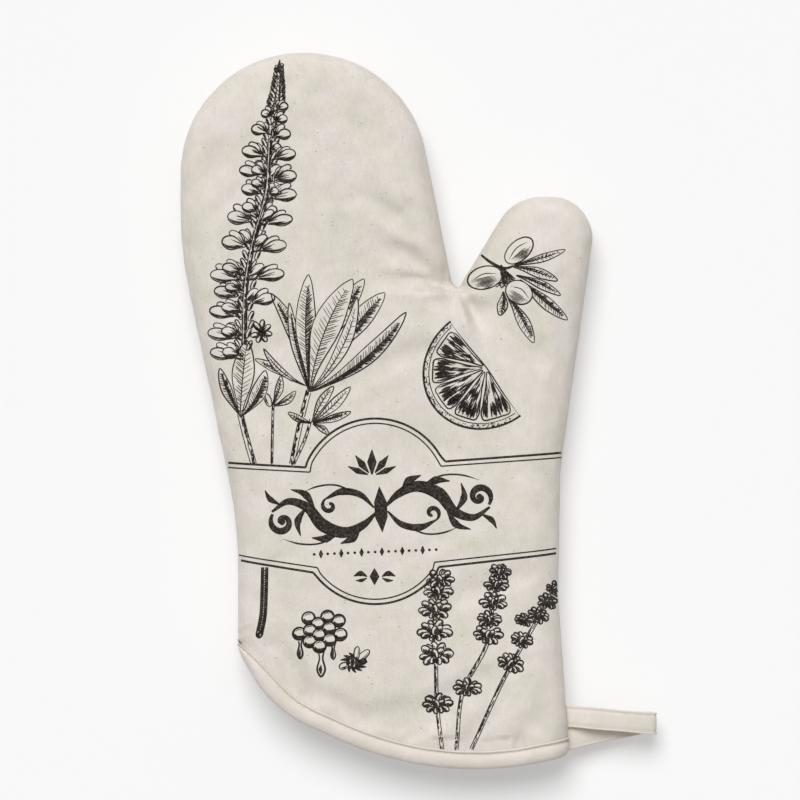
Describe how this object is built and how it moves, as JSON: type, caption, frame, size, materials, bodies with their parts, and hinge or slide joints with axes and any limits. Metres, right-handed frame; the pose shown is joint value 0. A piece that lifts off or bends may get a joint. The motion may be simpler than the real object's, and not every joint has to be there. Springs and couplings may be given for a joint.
{
  "type": "oven mitt",
  "caption": "Padded canvas oven mitt with a line-art kitchen herb print, a bound cuff, a hollow for the hand and thumb, and a tape loop to hang it by.",
  "frame": {"origin": "middle of the whole object's box in X and Y, on the surface that the mitt's back lies on", "axes": "+X towards the thumb's side, +Y towards the fingertips, +Z out of the printed front; the mitt lies flat on its back"},
  "size_m": [0.22, 0.3299, 0.03],
  "materials": {
    "print_canvas": "natural cotton canvas with a dark line-art print",
    "canvas": "natural cotton canvas, unprinted",
    "batting": "needled cotton wadding",
    "lining": "plain cotton sheeting",
    "binding": "folded cotton bias tape",
    "thread": "spun sewing thread"
  },
  "bodies": {
    "palm": {"front_shell_palm": "print_canvas", "back_shell_palm": "canvas", "front_batting_palm": "batting", "back_batting_palm": "batting", "front_lining_palm": "lining", "back_lining_palm": "lining", "side_seam_thread_palm": "thread", "cuff_binding": "binding", "binding_stitching": "thread", "loop_tape_end": "binding"},
    "fingers": {"front_shell_fingers": "print_canvas", "back_shell_fingers": "canvas", "front_batting_fingers": "batting", "back_batting_fingers": "batting", "front_lining_fingers": "lining", "back_lining_fingers": "lining", "side_seam_thread_fingers": "thread"},
    "thumb": {"front_shell_thumb": "print_canvas", "back_shell_thumb": "canvas", "front_batting_thumb": "batting", "back_batting_thumb": "batting", "front_lining_thumb": "lining", "back_lining_thumb": "lining", "side_seam_thread_thumb": "thread"},
    "loop": {"hanging_loop": "binding", "loop_edge_stitching": "thread"}
  },
  "joints": [
    {"name": "finger_fold", "type": "hinge", "parent": "palm", "child": "fingers", "pos_m": [0.01352, 0.07281, 0.03], "axis": [0.9903, 0.1392, 0], "range_deg": [0, 75], "stiffness_Nm_per_rad": 0.02},
    {"name": "thumb_fold", "type": "hinge", "parent": "palm", "child": "thumb", "pos_m": [0.02479, 0.06149, 0.03], "axis": [0.7071, -0.7071, 0], "range_deg": [0, 60], "stiffness_Nm_per_rad": 0.01},
    {"name": "loop_swing", "type": "hinge", "parent": "palm", "child": "loop", "pos_m": [0.0695, -0.1465, 0.0199], "axis": [0, -1, 0], "range_deg": [0, 90]}
  ]
}
